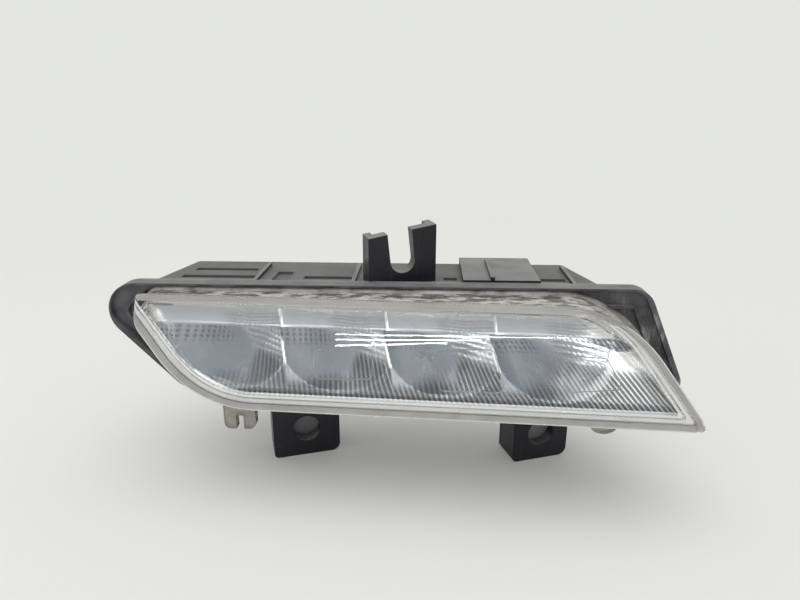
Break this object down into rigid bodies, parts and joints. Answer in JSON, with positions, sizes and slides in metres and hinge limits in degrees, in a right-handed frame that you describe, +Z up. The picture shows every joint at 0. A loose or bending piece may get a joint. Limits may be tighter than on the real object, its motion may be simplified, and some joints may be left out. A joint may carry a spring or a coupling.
{
  "type": "auxiliary driving light",
  "caption": "Slanted bumper-corner driving lamp: clear raked lens over a chambered reflector, black flanged housing with a top fork and drilled feet, finned heat sink behind.",
  "frame": {"origin": "middle of the lamp's bounding box, on the plane of its two feet", "axes": "+X along the lamp towards the pointed lower tip of the lens, +Y from the lens to the socket, +Z up as it stands on its feet"},
  "size_m": [0.1764, 0.0714, 0.0817],
  "materials": {
    "black_plastic": "fine-grained black moulding",
    "clear_lens": "clear polycarbonate, polished",
    "sealant": "cured sealant, dull",
    "metallised": "vacuum-metallised plastic, mirror bright",
    "board": "white solder mask",
    "cast_aluminium": "as cast",
    "gasket": "dull elastomer",
    "steel": "zinc plated",
    "led": "phosphor dome on a white base",
    "tinned_brass": "tinned",
    "epoxy": "moulded epoxy",
    "ferrite": "sintered",
    "can": "drawn can",
    "chip_ceramic": "thick film",
    "film": "breathable film",
    "vent_rubber": "dull elastomer"
  },
  "bodies": {
    "root": {"housing": "black_plastic", "outer_lens": "clear_lens", "sealant_bead": "sealant", "reflector": "metallised", "led_board": "board", "heat_sink": "cast_aluminium", "sink_gasket": "gasket", "sink_screws": "steel", "clamp_screws": "steel", "vent_film": "film", "vent_cap": "vent_rubber", "led_1": "led", "led_2": "led", "led_3": "led", "led_4": "led", "terminal_1": "tinned_brass", "terminal_2": "tinned_brass", "terminal_3": "tinned_brass", "driver_chip": "epoxy", "choke_coil": "ferrite", "input_diode": "epoxy", "filter_capacitor": "can", "sense_resistors": "chip_ceramic"}
  },
  "joints": []
}
